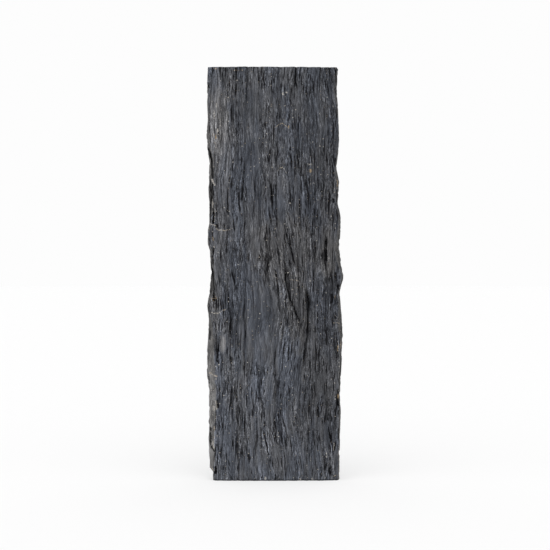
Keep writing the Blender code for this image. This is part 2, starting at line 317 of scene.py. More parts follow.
        ([(114, 154), (114, 152)], 2.0, 1.0),
        ([(107.5, 67), (107, 54)], 1.2, 0.2),
        ([(94, 52), (94, 43)], 1.2, 0.1),
    ],
    # places where the fibres lie flat and smooth: x, z, half width, half height, how much
    "calm": [
        (-30, 290, 38, 84, 0.8), (-42, 620, 16, 130, 0.5), (-36, 470, 18, 60, 0.5),
        (11, 490, 7, 72, 0.8), (-104, 610, 24, 120, 0.25), (-9, 150, 9, 60, 0.6),
        (98, 415, 6, 34, 0.7), (-94, 250, 5, 18, 0.8), (-100, 440, 10, 24, 0.5),
        (70, 640, 30, 50, 0.3),
    ],
    # broad patches of the face, lighter or (below nought) darker, partly the stone's own tone and partly
    # painted light and shade:
    # x, z, half width, half height, how much, and how warm
    "patches": [
        (-104, 652, 20, 70, 0.48, 0.8), (-100, 600, 26, 70, 0.32, 0.3),
        (-106, 470, 16, 60, 0.35, 0.3), (-24, 130, 20, 150, 0.16, 0.0),
        (-56, 600, 34, 190, -0.13, 0.0), (-30, 290, 40, 84, -0.12, 0.0),
        (12, 590, 16, 80, 0.2, 0.2), (98, 560, 55, 260, -0.24, 0.0), (95, 220, 60, 150, -0.16, 0.1),
        (42, 320, 20, 80, -0.06, 0.8), (20, 420, 60, 60, 0.0, 0.7), (60, 150, 20, 40, -0.1, 0.3),
        (96, 415, 14, 50, 0.12, 0.9), (-110, 300, 10, 60, 0.25, 0.5),
        (-116, 130, 9, 120, 0.66, 0.1), (-86, 720, 20, 24, 0.1, 0.2), (-95, 248, 6, 14, 0.5, 0.9),
        (-104, 250, 8, 14, -0.35, 0.2), (-104, 575, 10, 40, -0.1, 0.2),
        (70, 400, 14, 60, 0.16, 0.4), (-116, 714, 9, 22, 0.02, 0.4), (-18, 286, 18, 56, -0.15, 0.0),
        (-74, 278, 16, 40, -0.22, 0.0), (-45, 680, 14, 28, -0.13, 0.0),
        (104, 720, 12, 24, -0.08, 0.0), (102, 70, 20, 70, -0.2, 0.0),
        (-103, 355, 14, 24, 0.14, 0.0), (70, 310, 14, 44, 0.1, 0.0), (66, 130, 14, 60, 0.06, 0.0),
        (41, 482, 12, 24, -0.12, 0.0), (12, 136, 12, 20, -0.12, 0.0), (12, 470, 10, 24, -0.14, 0.0),
        (56, 130, 50, 90, -0.07, 0.0), (-74, 243, 14, 24, -0.1, 0.0),
    ],
    # pale and ochre chips seen from the front: x, z, half width, half height, ochre share
    "chips": [
        (-111, 130, 2.6, 6, 0.1), (-107, 746, 3.5, 1.6, 0.6), (-66, 743, 10, 1.4, 0.5),
        (115, 153, 2, 4, 0.9), (120, 245, 2, 6, 0.6), (65, 562, 2.5, 3, 0.9),
        (64, 573, 5, 1.5, 0.2), (15, 701, 2, 2.5, 0.0), (21, 703, 1.6, 2, 0.0),
        (25, 641, 1.6, 3, 0.8), (118, 9, 3, 2, 0.2), (-17, 5, 3, 2, 0.1), (46, 2, 3, 2, 0.2),
        (68, 2, 3, 2, 0.2), (118, 500, 2, 6, 0.6), (122, 318, 2, 8, 0.3), (-110, 663, 1.4, 7, 0.1),
        (-106, 680, 1, 5, 0.0), (-104, 634, 1.6, 5, 0.1), (-112, 627, 1.4, 3, 0.7),
        (-107, 623, 1.6, 5, 0.8), (-99, 648, 1, 8, 0.2), (-110, 614, 1.2, 3, 0.6),
        (-107, 607, 1.2, 4, 0.5), (-101, 597, 1, 5, 0.3), (-117, 600, 1, 4, 0.4),
        (98, 419, 1.4, 1.6, 0.4), (98, 404, 1.2, 1.4, 0.3), (98, 394, 1.2, 1.6, 0.6),
    ],
    # swells of the grain line and of the faces: height, width, length, seed
    "grainWander": [(2.6, 70, 95, 4.1), (1.0, 24, 38, 9.7)],
    "backWander": [(3.0, 80, 120, 14.1), (1.0, 24, 38, 19.7)],
    "frontSwells": [(1.3, 90, 230, 0.3), (1.1, 26, 44, 5.9)],
    "backSwells": [(2.0, 120, 260, 10.3), (0.9, 28, 50, 15.9)],
    "frontRidges": [(1.2, 17, 130, 2.2), (0.7, 8, 55, 8.8)],
    "backRidges": [(1.2, 19, 140, 12.2), (0.7, 8, 60, 18.8)],
    # long sheets lying on one another: width, length, seed, then how deep a sheet's own step,
    # its lean to the right and its rim go
    "frontSheets": [(23, 150, 1.5, 1.1, -1.4, 0.7), (12, 70, 6.5, 0.8, -1.1, 0.6)],
    "backSheets": [(46, 190, 21.5, 1.8, 1.5, 0.9), (15, 90, 26.5, 0.8, 0.9, 0.5)],
    "frontDepth": 4.0,   # how far a face lies behind the box on the whole
    "backDepth": 4.8,
    # the front bulges: it falls back by crownFall at crownReach from the line x = crownMiddle
    "crownFall": 3.4,
    "crownMiddle": -25.0,
    "crownReach": 100.0,
    "topWear": (1.3, 6),      # depth at the sawn edge, and the height that it takes up
    "footWear": (0.8, 5),
    "calmFoot": (150, 300),   # the front is shallower below the first height and full above the second
    "calmFootRelief": 0.65,
    # the broken sides; sizes are through the thickness by up the side
    "widestAt": (0.66, 0.14),   # where a side reaches out furthest, as a share, and how that drifts
    "sideRound": (1.3, 1.5),    # how round it falls away to the front and to the back
    "bedThickness": 3.4,
    "scarSize": (13, 20),
    "nibbles": [(8, 13, 0.8), (5, 5.5, 1.1)],   # the third number is the depth
    "footShadow": (0.92, 3.0),   # painted contact shadow where the stone stands: how dark, and up to what height
}


def between(points, height):
    # straight-line value at a height, from points running down
    upper = points[0]
    if height >= upper[0]:
        return upper[1]
    for lower in points[1:]:
        if height >= lower[0]:
            share = (height - lower[0]) / (upper[0] - lower[0])
            return lower[1] + (upper[1] - lower[1]) * share
        upper = lower
    return points[-1][1]


def fade(value, low, high):
    share = min(max((value - low) / (high - low), 0.0), 1.0)
    return share * share * (3.0 - 2.0 * share)


def waves(x, z, wide, tall, seed):
    # the factor brings the noise to about -1 to 1
    return 1.6 * noise.noise(Vector((x / wide, z / tall, seed)))


def swells(x, z, layers):
    return sum(height * waves(x, z, wide, tall, seed) for height, wide, tall, seed in layers)


def grain(x, z):
    # the x that the grain line through this point has where the grain runs straight
    swing = between(slab["grainSwing"], z)
    swing *= max(0.0, 1.0 - ((x - slab["swingMiddle"]) / slab["swingReach"]) ** 2)
    return x - swing - swells(x, z, slab["grainWander"])


def shingle(s, z, wide, tall, seed):
    # a long thin sheet: its step, how far this point leans to its right, and its rim
    here = Vector((s / wide, z / tall, seed))
    distances, middles = noise.voronoi(here)
    step = noise.cell(middles[0] * 7.0)
    lean = here.x - middles[0].x
    rim = 1.0 - fade(distances[1] - distances[0], 0.0, 0.2)
    return step, lean, rim


def sheetBuild(s, z, layers):
    # depth of several sizes of sheet on one another, and each size's step and rim
    depth = 0.0
    steps, rims = [], []
    for wide, tall, seed, stepDepth, leanDepth, rimDepth in layers:
        step, lean, rim = shingle(s, z, wide, tall, seed)
        depth += stepDepth * step + leanDepth * lean + rimDepth * rim
        steps.append(step)
        rims.append(rim)
    return depth, steps, rims


def slit(s, z, wide, tall, seed, width):
    # thin lines that part and meet again along the grain, 0 to 1
    return 1.0 - fade(abs(waves(s, z, wide, tall, seed)), 0.0, width)


def nick(s, z, wide, tall, seed, share):
    # scattered short open slits, each a narrow lens at the middle of its cell, 0 to 1
    distances, middles = noise.voronoi(Vector((s / wide, z / tall, seed)))
    chance = 0.5 + 0.5 * noise.cell(middles[0] * 11.0)
    if chance > share:
        return 0.0
    size = 0.11 + 0.16 * chance / share
    return 1.0 - fade(distances[0], 0.55 * size, size)


def crackAt(x, z):
    # depth of the open cracks here, and the painted shade in them and on the low shelf beside them
    past, inside = 6, 14  # a crack fades in from past its line's end to inside it
    depth = paintedShade = 0.0
    for line, deep, reach in slab["cracks"]:
        top, bottom = line[0][0], line[-1][0]
        if z > top + past or z < bottom - past:
            continue
        ends = fade(z, bottom - past, bottom + inside)
        if top < slab["height"]:
            ends *= 1.0 - fade(z, top - inside, top + past)
        off = (x - between(line, z) - 1.0 * waves(x, z, 9, 14, 2.7)) * (1 if reach > 0 else -1)
        shelf = fade(off, -0.9, 0.5) * (1.0 - fade(off, 0.0, abs(reach)))
        cut = 1.0 - fade(abs(off - 0.6), 0.5, 2.2)
        patchy = 0.8 + 0.5 * waves(x, z, 20, 18, top)
        depth += ends * deep * (0.5 * shelf + 0.65 * cut * patchy)
        paintedShade = max(paintedShade, ends * cut * min(1.0, deep / 2.8) * patchy, 0.3 * ends * shelf)
    return depth, paintedShade


farOff = 9.0  # millimetres, given where no ledge is near


def ledgeAt(x, z):
    # rise below the sheet ends, the distance below the nearest one and how much of it is here
    rise = here = 0.0
    nearest = farOff
    soft = 2  # a ledge fades out over this many millimetres
    for line, peak, reach in slab["ledges"]:
        left, right = line[0][0], line[-1][0]
        if x < left - soft or x > right + soft:
            continue
        ends = fade(x, left - soft, left + soft) * (1.0 - fade(x, right - soft, right + soft))
        height = between([(-px, pz) for px, pz in line], -x) + 0.9 * waves(x, z, 4, 60, 7.1)
        below = height - z
        rise += peak * ends * fade(below, -soft, soft) * (1.0 - fade(below, soft, reach))
        if abs(below) < abs(nearest):
            nearest, here = below, ends
    return rise, nearest, here


def apart(x, z, line):
    # millimetres from here to a drawn line
    nearest = math.inf
    for (fromX, fromZ), (toX, toZ) in zip(line, line[1:]):
        runX, runZ = toX - fromX, toZ - fromZ
        share = ((x - fromX) * runX + (z - fromZ) * runZ) / (runX ** 2 + runZ ** 2)
        share = min(max(share, 0.0), 1.0)
        nearest = min(nearest, math.hypot(x - fromX - share * runX, z - fromZ - share * runZ))
    return nearest


def isNear(x, z, line):
    # no cut or vein reaches further than this from its first point
    return abs(z - line[0][1]) < 64 and abs(x - line[0][0]) < 18


def cutAt(x, z):
    # how far a narrow cut sets the stone back here, and how black it is painted as shade
    back = cutShade = 0.0
    for line, width, deep in slab["cuts"]:
        if isNear(x, z, line):
            off = apart(x, z, line) - width / 2 + 1.0 * waves(x, z, 3, 6, 3.3)
            cutShade = max(cutShade, 1.0 - fade(off, -0.6, 1.0))
            back = max(back, deep * (1.0 - fade(off, -0.6, 0.8)))
    return back, cutShade


def awayFrom(x, z, oval):
    # 0 in the middle of a drawn oval, 1 on its line; it is x, z, half width and half height
    middleX, middleZ, halfWidth, halfHeight = oval
    return ((x - middleX) / halfWidth) ** 2 + ((z - middleZ) / halfHeight) ** 2


def tongueRise(x, z):
    rise = 0.0
    for *oval, peak in slab["tongues"]:
        rise += peak * (1.0 - fade(awayFrom(x, z, oval), 0.35, 1.25))
    return rise


def chipAt(x, z):
    # how much of a pale and of an ochre chip or vein lies here
    pale = ochre = 0.0
    for *oval, share in slab["chips"]:
        here = 1.0 - fade(awayFrom(x, z, oval), 0.5, 1.7)
        pale = max(pale, here * (1.0 - share))
        ochre = max(ochre, here * share)
    for line, width, share in slab["veins"]:
        if isNear(x, z, line):
            here = 1.0 - fade(apart(x, z, line), 0.3 * width, 0.3 * width + 0.9)
            pale = max(pale, here * min(1.0, 1.6 - 1.6 * share))
            ochre = max(ochre, here * min(1.0, 1.6 * share))
    return pale, ochre


def calmAt(x, z):
    calm = 0.0
    for *oval, gain in slab["calm"]:
        calm = max(calm, gain * (1.0 - fade(awayFrom(x, z, oval), 0.4, 1.3)))
    return calm


def patchAt(x, z):
    # how much lighter and how much warmer the stone is here; the lightness is partly its own tone and
    # partly painted light and shade
    lighter = warm = 0.0
    for *oval, gain, heat in slab["patches"]:
        away = awayFrom(x, z, oval)
        if away < 1.6:
            here = 1.0 - fade(away + 0.5 * waves(x, z, 9, 22, oval[1]), 0.35, 1.5)
            lighter += gain * here
            warm = max(warm, heat * here)
    return lighter, warm


def fineSheets(s, z, x, seed):
    # the fine build-up of thin sheets and fibres: depth, painted shade in its rims, slits and nicks, and
    # tone
    rough = max(0.3, 0.8 + 0.5 * waves(x, z, 38, 90, seed + 70))
    s1 = s + 1.6 * waves(s, z, 9, 30, seed + 3)
    s2 = s + 0.9 * waves(s, z, 5, 16, seed + 5)
    midStep, midLean, midRim = shingle(s1, z, 6.0, 40, seed + 11)
    fineStep, fineLean, fineRim = shingle(s2, z, 3.1, 18, seed + 16)
    wideSlit = slit(s1, z, 8.5, 66, seed + 21, 0.13)
    nicks = max(nick(s1, z, 7.5, 46, seed + 31, 0.55), nick(s2, z, 5.0, 26, seed + 36, 0.5))
    depth = 0.5 * midStep - 0.9 * midLean + 0.4 * midRim
    depth += 0.3 * fineStep - 0.45 * fineLean + 0.3 * fineRim
    depth += 0.8 * wideSlit + 1.1 * nicks
    crevice = 0.2 * midRim + 0.2 * fineRim + 0.5 * wideSlit + 0.7 * nicks
    tone = 0.55 * midStep + 0.5 * fineStep
    return depth * rough, crevice * min(1.0, rough + 0.2), tone


def edgeWear(z):
    # the sawn edges are a little worn
    topDeep, topReach = slab["topWear"]
    footDeep, footReach = slab["footWear"]
    return (topDeep * fade(z, slab["height"] - topReach, slab["height"])
            + footDeep * (1.0 - fade(z, 0, footReach)))


def frontForm(x, z):
    # depth behind the box's front, painted crevice shade, tone, and the nearest ledge's distance and share
    s = grain(x, z)
    crown = slab["crownFall"] * ((x - slab["crownMiddle"]) / slab["crownReach"]) ** 2
    layers, (longStep, shortStep), (longRim, shortRim) = sheetBuild(s, z, slab["frontSheets"])
    fineDepth, fineGap, fineTone = fineSheets(s, z, x, 0.0)
    rougher = 1.0 - 0.6 * calmAt(x, z)
    crack, paintedShade = crackAt(x, z)
    rise, ledgeOff, ledge = ledgeAt(x, z)
    relief = slab["calmFootRelief"] + (1.0 - slab["calmFootRelief"]) * fade(z, *slab["calmFoot"])
    depth = (swells(s, z, slab["frontRidges"]) + layers + fineDepth * rougher + crack) * relief
    depth += slab["frontDepth"] + crown + swells(x, z, slab["frontSwells"]) + edgeWear(z)
    depth -= tongueRise(x, z) + rise
    crevice = 0.12 * longRim + 0.12 * shortRim + (0.6 * fineGap * rougher + paintedShade) * relief
    tone = 0.35 * longStep + 0.5 * shortStep + fineTone * rougher
    return depth, min(crevice, 1.0), tone, ledgeOff, ledge


def backForm(x, z):
    # depth in front of the box's back, painted crevice shade, tone, and the distance across its fibres
    s = x - swells(x, z, slab["backWander"])
    layers, (bedStep, thinStep), (bedRim, thinRim) = sheetBuild(s, z, slab["backSheets"])
    fineDepth, fineGap, fineTone = fineSheets(s, z, x, 40.0)
    depth = slab["backDepth"] + swells(x, z, slab["backSwells"]) + swells(s, z, slab["backRidges"])
    depth += layers + fineDepth + edgeWear(z)
    crevice = fineGap + 0.25 * bedRim + 0.2 * thinRim
    return depth, min(crevice, 1.0), 0.4 * bedStep + 0.4 * thinStep + fineTone, 1.42 * s


def sideInset(slope, z, share, seed):
    # how far a side stands in from its furthest reach, which it has behind its middle;
    # share runs from the front edge to the back edge
    middle, drift = slab["widestAt"]
    widest = middle + drift * waves(0.0, z, 1.0, 160, seed)
    frontRun = max(0.0, 1.0 - share / widest)
    backRun = max(0.0, (share - widest) / (1.0 - widest))
    frontRound, backRound = slab["sideRound"]
    return between(slope, z) * frontRun ** frontRound + between(slab["backSlope"], z) * backRun ** backRound


def seamAt(seam, inset, z, share, seed):
    # how far the open seam behind the front sheet sends the stone back, and how much of it is here
    opening = between(seam, z) * (0.75 + 0.5 * waves(z, 0.0, 14, 1.0, seed))
    end = 0.12 + 0.9 / max(inset, 3.0)
    notch = fade(share, 0.02, 0.06) * (1.0 - fade(share, 0.8 * end, 1.2 * end))
    return notch * opening, notch * min(1.0, max(0.0, opening / 4))


def sideForm(side, slope, seam, z, share, seed):
    # a broken side: reach from the middle, the seam's depth, painted shade in its seam, lines, pits and
    # front corner, and tone
    inset = sideInset(slope, z, share, seed)
    opening, gap = seamAt(seam, inset, z, share, seed)
    # painted shade along the front corner where the side stands in
    corner = (1.0 - fade(share, 0.0, 0.05)) * fade(inset, 3.0, 6.0)
    corner *= max(0.0, 0.4 + 0.5 * waves(z, 0.0, 7, 1.0, seed + 4.0))
    # beds across the thickness, with shell-like scars and loose edges
    deep = share * slab["thickness"]
    bed = (deep + 1.6 * waves(z, 0.0, 90, 1.0, seed + 2.0)) / slab["bedThickness"]
    bedStep = noise.cell(Vector((bed, 0.5, seed)))
    scar, _, scarRim = shingle(deep + 6, z, *slab["scarSize"], seed + 3.0)
    loose = fade(inset, 0.0, 2.5) * (1.0 - 0.85 * gap)
    broken = loose * (1.0 + 0.9 * bedStep + 0.9 * scar + 0.7 * scarRim)
    broken += loose * 0.9 * waves(deep, z, 3.0, 8.0, seed + 5.0)
    # small bites out of the side; the finer ones stop before the back edge, where they would line up
    bent = z + 5.0 * waves(deep, z, 14, 22, seed + 6.0)
    (wide, tall, bite), (fineWide, fineTall, fineBite) = slab["nibbles"]
    nibble = bite * noise.cell(Vector((deep / wide, bent / tall, seed + 7.0)))
    fineCell = noise.cell(Vector((deep / fineWide, bent / fineTall, seed + 8.0)))
    nibble += fineBite * fineCell * (1.0 - fade(share, 0.75, 0.9))
    line = slit(deep, z, 3.6, 60, seed + 9.0, 0.3)
    pit = fade(noise.cell(Vector((bed, bent / 11, seed + 12.0))), 0.35, 0.5)
    wearAndPaintedLight = max(0.0, broken) + 0.5 * loose * line + 0.8 * pit + max(0.0, nibble + 0.4) * (1.0 - gap)
    crevice = max(0.45 * gap, 0.5 * line, 0.5 * pit, corner)
    return between(side, z) - inset - wearAndPaintedLight, opening, min(crevice, 1.0), 0.7 * bedStep + 0.9 * scar


# what each point of the mesh tells the finish
markNames = ("crevice", "cut", "flakeTone", "grainAcross", "broken", "calm", "ledge", "ledgeOff", "pale",
             "ochre", "wearAndPaintedLight", "warm")


def shapePoint(across, deep, up):
    # where a point of the unit block goes in the slab, and its marks
    onFront, onBack = deep < 0.001, deep > 0.999
    onLeft, onRight = across < 0.001, across > 0.999
    z = up * slab["height"]
    left = sideForm(slab["leftSide"], slab["leftSlope"], slab["leftSeam"], z, deep, 31.0)
    right = sideForm(slab["rightSide"], slab["rightSlope"], slab["rightSeam"], z, deep, 47.0)
    x = -left[0] + (right[0] + left[0]) * across
    frontIn, frontGap, frontTone, ledgeOff, ledge = frontForm(x, z)
    backIn, backGap, backTone, backAcross = backForm(x, z)
    front = -slab["thickness"] / 2 + max(0.0, frontIn)
    back = slab["thickness"] / 2 - max(0.0, backIn)
    y = front + (back - front) * deep
    marks = dict.fromkeys(markNames, 0.0)
    marks.update(grainAcross=x, ledgeOff=farOff)
    # what is drawn on the front fades out round the corners, later on the left, which slopes more
    inFront = 1.0 - (fade(deep, 0.5, 0.75) if across < 0.5 else fade(deep, 0.08, 0.3))
    if inFront > 0.0:
        pale, ochre = chipAt(x, z)
        marks.update(pale=pale * inFront, ochre=ochre * inFront, calm=calmAt(x, z))
        marks.update(ledgeOff=ledgeOff, ledge=ledge * inFront)
    if not onBack:
        # lighter and darker patches, partly the stone's own tone and partly painted light and shade
        marks["wearAndPaintedLight"], marks["warm"] = patchAt(x, z)
    if onFront:
        # the cut sets the front back and is painted black as shade
        cut, marks["cut"] = cutAt(x, z)
        y += cut
        marks.update(crevice=frontGap, flakeTone=frontTone, grainAcross=grain(x, z))
    elif onBack:
        marks.update(crevice=backGap, flakeTone=backTone, grainAcross=backAcross)
    elif onLeft or onRight:
        _, opening, sideGap, sideTone = left if onLeft else right
        # the cuts' painted black shade runs onto the side near the front
        cut, cutShade = cutAt(x, z)
        y += opening + 0.5 * cut * inFront
        # the fibres run on round the corner
        beyond = slab["thickness"] * deep * (-1 if onLeft else 1)
        marks.update(cut=cutShade * inFront, crevice=sideGap, flakeTone=sideTone, broken=1.0,
                     grainAcross=grain(x, z) + beyond)
    # painted contact shadow along the foot, laid into the crevice shade
    darkest, shadowTop = slab["footShadow"]
    marks["crevice"] = max(marks["crevice"], darkest - fade(z, 0.0, shadowTop))
    return Vector((x, y, z)) * mm, marks


def cutAlong(block, axis, cells):
    # cut every edge that runs along one axis into equal cells
    for count in cells:
        points = block.data.vertices
        for edge in block.data.edges:
            run = points[edge.vertices[0]].co - points[edge.vertices[1]].co
            edge.select = abs(run[axis]) > 0.9 * run.length
        bpy.ops.object.mode_set(mode="EDIT")
        bpy.ops.mesh.subdivide(number_cuts=count - 1)
        bpy.ops.mesh.select_all(action="DESELECT")
        bpy.ops.object.mode_set(mode="OBJECT")


def addBlock():
    bpy.ops.object.select_all(action="DESELECT")
    bpy.ops.mesh.primitive_cube_add(size=1, location=(0.5, 0.5, 0.5))
    stone = bpy.context.object
    stone.name = "rivenSlate"
    bpy.ops.object.transform_apply(location=True)
    bpy.ops.object.mode_set(mode="EDIT")
    bpy.ops.mesh.select_mode(type="EDGE")
    bpy.ops.mesh.select_all(action="DESELECT")
    bpy.ops.object.mode_set(mode="OBJECT")
    cutAlong(stone, 2, slab["cellsUp"])
    cutAlong(stone, 0, slab["cellsAcross"])
    cutAlong(stone, 1, slab["cellsDeep"])
    return stone


def shapeSlab(stone):
    data = stone.data
    for name in markNames:
        data.attributes.new(name, "FLOAT", "POINT")
    values = {name: [0.0] * len(data.vertices) for name in markNames}
    for point in data.vertices:
        point.co, marks = shapePoint(*point.co)
        for name in markNames:
            values[name][point.index] = marks[name]
    for name in markNames:
        data.attributes[name].data.foreach_set("value", values[name])
    data.update()


def fitToFrame(stone):
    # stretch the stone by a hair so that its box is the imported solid's box
    low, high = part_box("slate_slab")
    points = stone.data.vertices
    for axis in range(3):
        values = [point.co[axis] for point in points]
        least, most = min(values), max(values)
        stretch = (high[axis] - low[axis]) / (most - least)
        for point in points:
            point.co[axis] = low[axis] + (point.co[axis] - least) * stretch
    stone.data.update()


rivenSlate = addBlock()
shapeSlab(rivenSlate)
fitToFrame(rivenSlate)
print("slab shaped:", len(rivenSlate.data.polygons), "faces")


slate = {
    "blueGrey": (0.094, 0.103, 0.124, 1),
    "neutralGrey": (0.102, 0.105, 0.115, 1),
    "brokenGrey": (0.184, 0.179, 0.174, 1),
    "wornGrey": (0.126, 0.121, 0.118, 1),
    "sawnGrey": (0.100, 0.104, 0.110),
    # the colour of the painted shade in crevices, cracks, cuts and slits
    "crevice": (0.004, 0.004, 0.005, 1),
    "ledgeEdge": (0.44, 0.37, 0.28, 1),
    "ochre": (0.34, 0.25, 0.15, 1),
    "pale": (0.52, 0.49, 0.45, 1),
    "specks": (0.26, 0.22, 0.17, 1),
    "shine": 0.10,
    "relief": (0.9, 0.0011),   # strength and height of the bump, in metres
    # patterns: width and length in millimetres, then detail, roughness and shift
    "bend": (9, 26, 3, 0.55),
    "drift": (40, 130, 2),
    "streak": (7, 60, 3, 0.6),
    "dashes": (2.2, 36, 2, 0.6),
    "hairs": (1.15, 9, 1),
    "grit": (1.8, 2.8, 1, 0.5, 20.0),
    "rough": (24, 60, 2, 0.5, 60.0),
    "crumbs": (1.7, 2.0, 2, 0.6),
    "edging": (7, 7, 1, 0.5, 11.0),
    "speckZones": (50, 60, 1, 0.5, 30.0),
    "sawLines": (1.4, 14, 3, 0.6),
    "sawnBeds": (40, 2.6, 3, 0.6),
    # three sizes of sheet: width, length, shift, how much its own tone varies, how much painted shade
    # darkens its right side, and its height in the bump
    "sheets": [(7.4, 90, 0.0, 0.15, 0.25, 0.5), (4.4, 60, 50.0, 0.21, 0.33, 0.36),
               (2.1, 24, 80.0, 0.36, 0.50, 0.2)],
    "facets": (14, 11, 230.0),   # of the broken sides: width, length, shift
    "specksEvery": (6.8, 7.4),   # millimetres across and along
    # short slits painted black as shade: width and length of the cell that each one has, shift, and how
    # rare
    "slits": [(6.8, 84, 90.0, 0.60), (5.0, 42, 140.0, 0.70), (7.6, 130, 190.0, 0.78),
              (5.6, 60, 240.0, 0.74)],
    # how strongly the painted shade darkens crevices, cuts and slits
    "paintedShadeStrength": 0.96,
    # strength of the painted highlight on the slits' lips
    "lipLight": 0.55,
}


class Finish:
    # a few helpers that add and join shader nodes
    def __init__(self, name):
        self.material = bpy.data.materials.new(name)
        self.material.use_nodes = True
        self.tree = self.material.node_tree
        self.shader = self.tree.nodes["Principled BSDF"]

    def node(self, kind, inputs=None, **settings):
        made = self.tree.nodes.new(kind)
        for key, value in settings.items():
            setattr(made, key, value)
        for key, value in (inputs or {}).items():
            if isinstance(value, bpy.types.NodeSocket):
                self.tree.links.new(value, made.inputs[key])
            else:
                made.inputs[key].default_value = value
        return made

    def math(self, operation, first, second=0.0):
        return self.node("ShaderNodeMath", {0: first, 1: second}, operation=operation).outputs[0]

    def plus(self, first, second):
        return self.math("ADD", first, second)

    def minus(self, first, second):
        return self.math("SUBTRACT", first, second)

    def times(self, first, *others):
        for other in others:
            first = self.math("MULTIPLY", first, other)
        return first

    def most(self, first, *others):
        for other in others:
            first = self.math("MAXIMUM", first, other)
        return first

    def size(self, value):
        return self.math("ABSOLUTE", value)

    def scaled(self, vector, factor):
        return self.node("ShaderNodeVectorMath", {0: vector, "Scale": factor}, operation="SCALE").outputs[0]

    def place(self, across, along):
        return self.node("ShaderNodeCombineXYZ", {"X": across, "Y": along}).outputs[0]

    def mark(self, name):
        return self.node("ShaderNodeAttribute", attribute_name=name).outputs["Fac"]

    def mix(self, factor, first, second):
        made = self.node("ShaderNodeMix", {0: factor, 6: first, 7: second}, data_type="RGBA")
        return made.outputs[2]

    def span(self, value, low, high, start=0.0, end=1.0):
        made = self.node("ShaderNodeMapRange", {0: value, 1: low, 2: high, 3: start, 4: end},
                         interpolation_type="SMOOTHSTEP")
        return made.outputs[0]

    def spread(self, place, wide, tall, shift):
        # place measured in blobs wide by tall millimetres
        return self.node("ShaderNodeMapping", {
            "Vector": place, "Location": (shift, shift, 0.0),
            "Scale": (1 / wide, 1 / tall, 1 / wide)}).outputs[0]

    def noise(self, place, wide, tall, detail, roughness=0.5, shift=0.0):
        return self.node("ShaderNodeTexNoise", {
            "Vector": self.spread(place, wide, tall, shift), "Scale": 1.0, "Detail": detail,
            "Roughness": roughness}, noise_dimensions="2D").outputs["Fac"]

    def cells(self, place, wide, tall, shift=0.0, pointed=False):
        # distance from the middle of each long cell, how far right of it, and two numbers of its own
        at = self.spread(place, wide, tall, shift)
        made = self.node("ShaderNodeTexVoronoi", {"Vector": at, "Scale": 1.0}, voronoi_dimensions="2D",
                         distance="MANHATTAN" if pointed else "EUCLIDEAN")
        own = self.node("ShaderNodeSeparateColor", {0: made.outputs["Color"]})
        off = self.node("ShaderNodeVectorMath", {0: at, 1: made.outputs["Position"]}, operation="SUBTRACT")
        lean = self.node("ShaderNodeSeparateXYZ", {"Vector": off.outputs[0]}).outputs["X"]
        return made.outputs["Distance"], lean, own.outputs[0], own.outputs[1]

    def sheetToneAndShade(self, own, lean, ownShare, leanShare):
        # a sheet's own random tone, and painted shade on its right side
        even = self.times(self.minus(own, 0.5), ownShare)
        return self.plus(1.0, self.minus(even, self.times(lean, leanShare)))


def layPatterns(f):
    # the places and patterns that several parts of the finish share
    millimetres = f.scaled(f.node("ShaderNodeTexCoord").outputs["Object"], 1 / mm)
    split = f.node("ShaderNodeSeparateXYZ", {"Vector": millimetres}).outputs
    f.straight = f.place(f.mark("grainAcross"), split["Z"])
    f.face = f.place(f.plus(split["X"], split["Y"]), split["Z"])
    f.ends = f.place(split["X"], split["Y"])
    # bend the fibres a little, so that their edges are not ruled
    bend = f.times(f.minus(f.noise(f.straight, *slate["bend"]), 0.5), 4.5)
    f.fibres = f.node("ShaderNodeVectorMath", {0: f.straight, 1: f.place(bend, 0.0)},
                      operation="ADD").outputs[0]
    f.streak = f.noise(f.fibres, *slate["streak"])
    f.dashes = f.noise(f.fibres, *slate["dashes"])
    f.hairs = f.noise(f.fibres, *slate["hairs"])
    f.crumbs = f.noise(f.face, *slate["crumbs"])
    f.rough = f.span(f.noise(f.straight, *slate["rough"]), 0.38, 0.58, 0.45, 1.25)
    f.broken = f.mark("broken")
    f.smooth = f.minus(1.0, f.most(f.times(f.broken, 0.4), f.mark("calm")))


def baseGrey(f):
    # broad drifts between blue-grey and neutral grey, warmer where the stone is broken or worn
    warm = f.mark("warm")
    tint = f.plus(f.times(f.noise(f.straight, *slate["drift"]), 0.6), f.times(f.streak, 0.4))
    tint = f.plus(tint, f.times(warm, 0.14))
    base = f.mix(f.span(tint, 0.39, 0.62), slate["blueGrey"], slate["neutralGrey"])
    base = f.mix(f.times(f.broken, 0.75), base, slate["brokenGrey"])
    return f.mix(f.times(warm, 0.6), base, slate["wornGrey"])


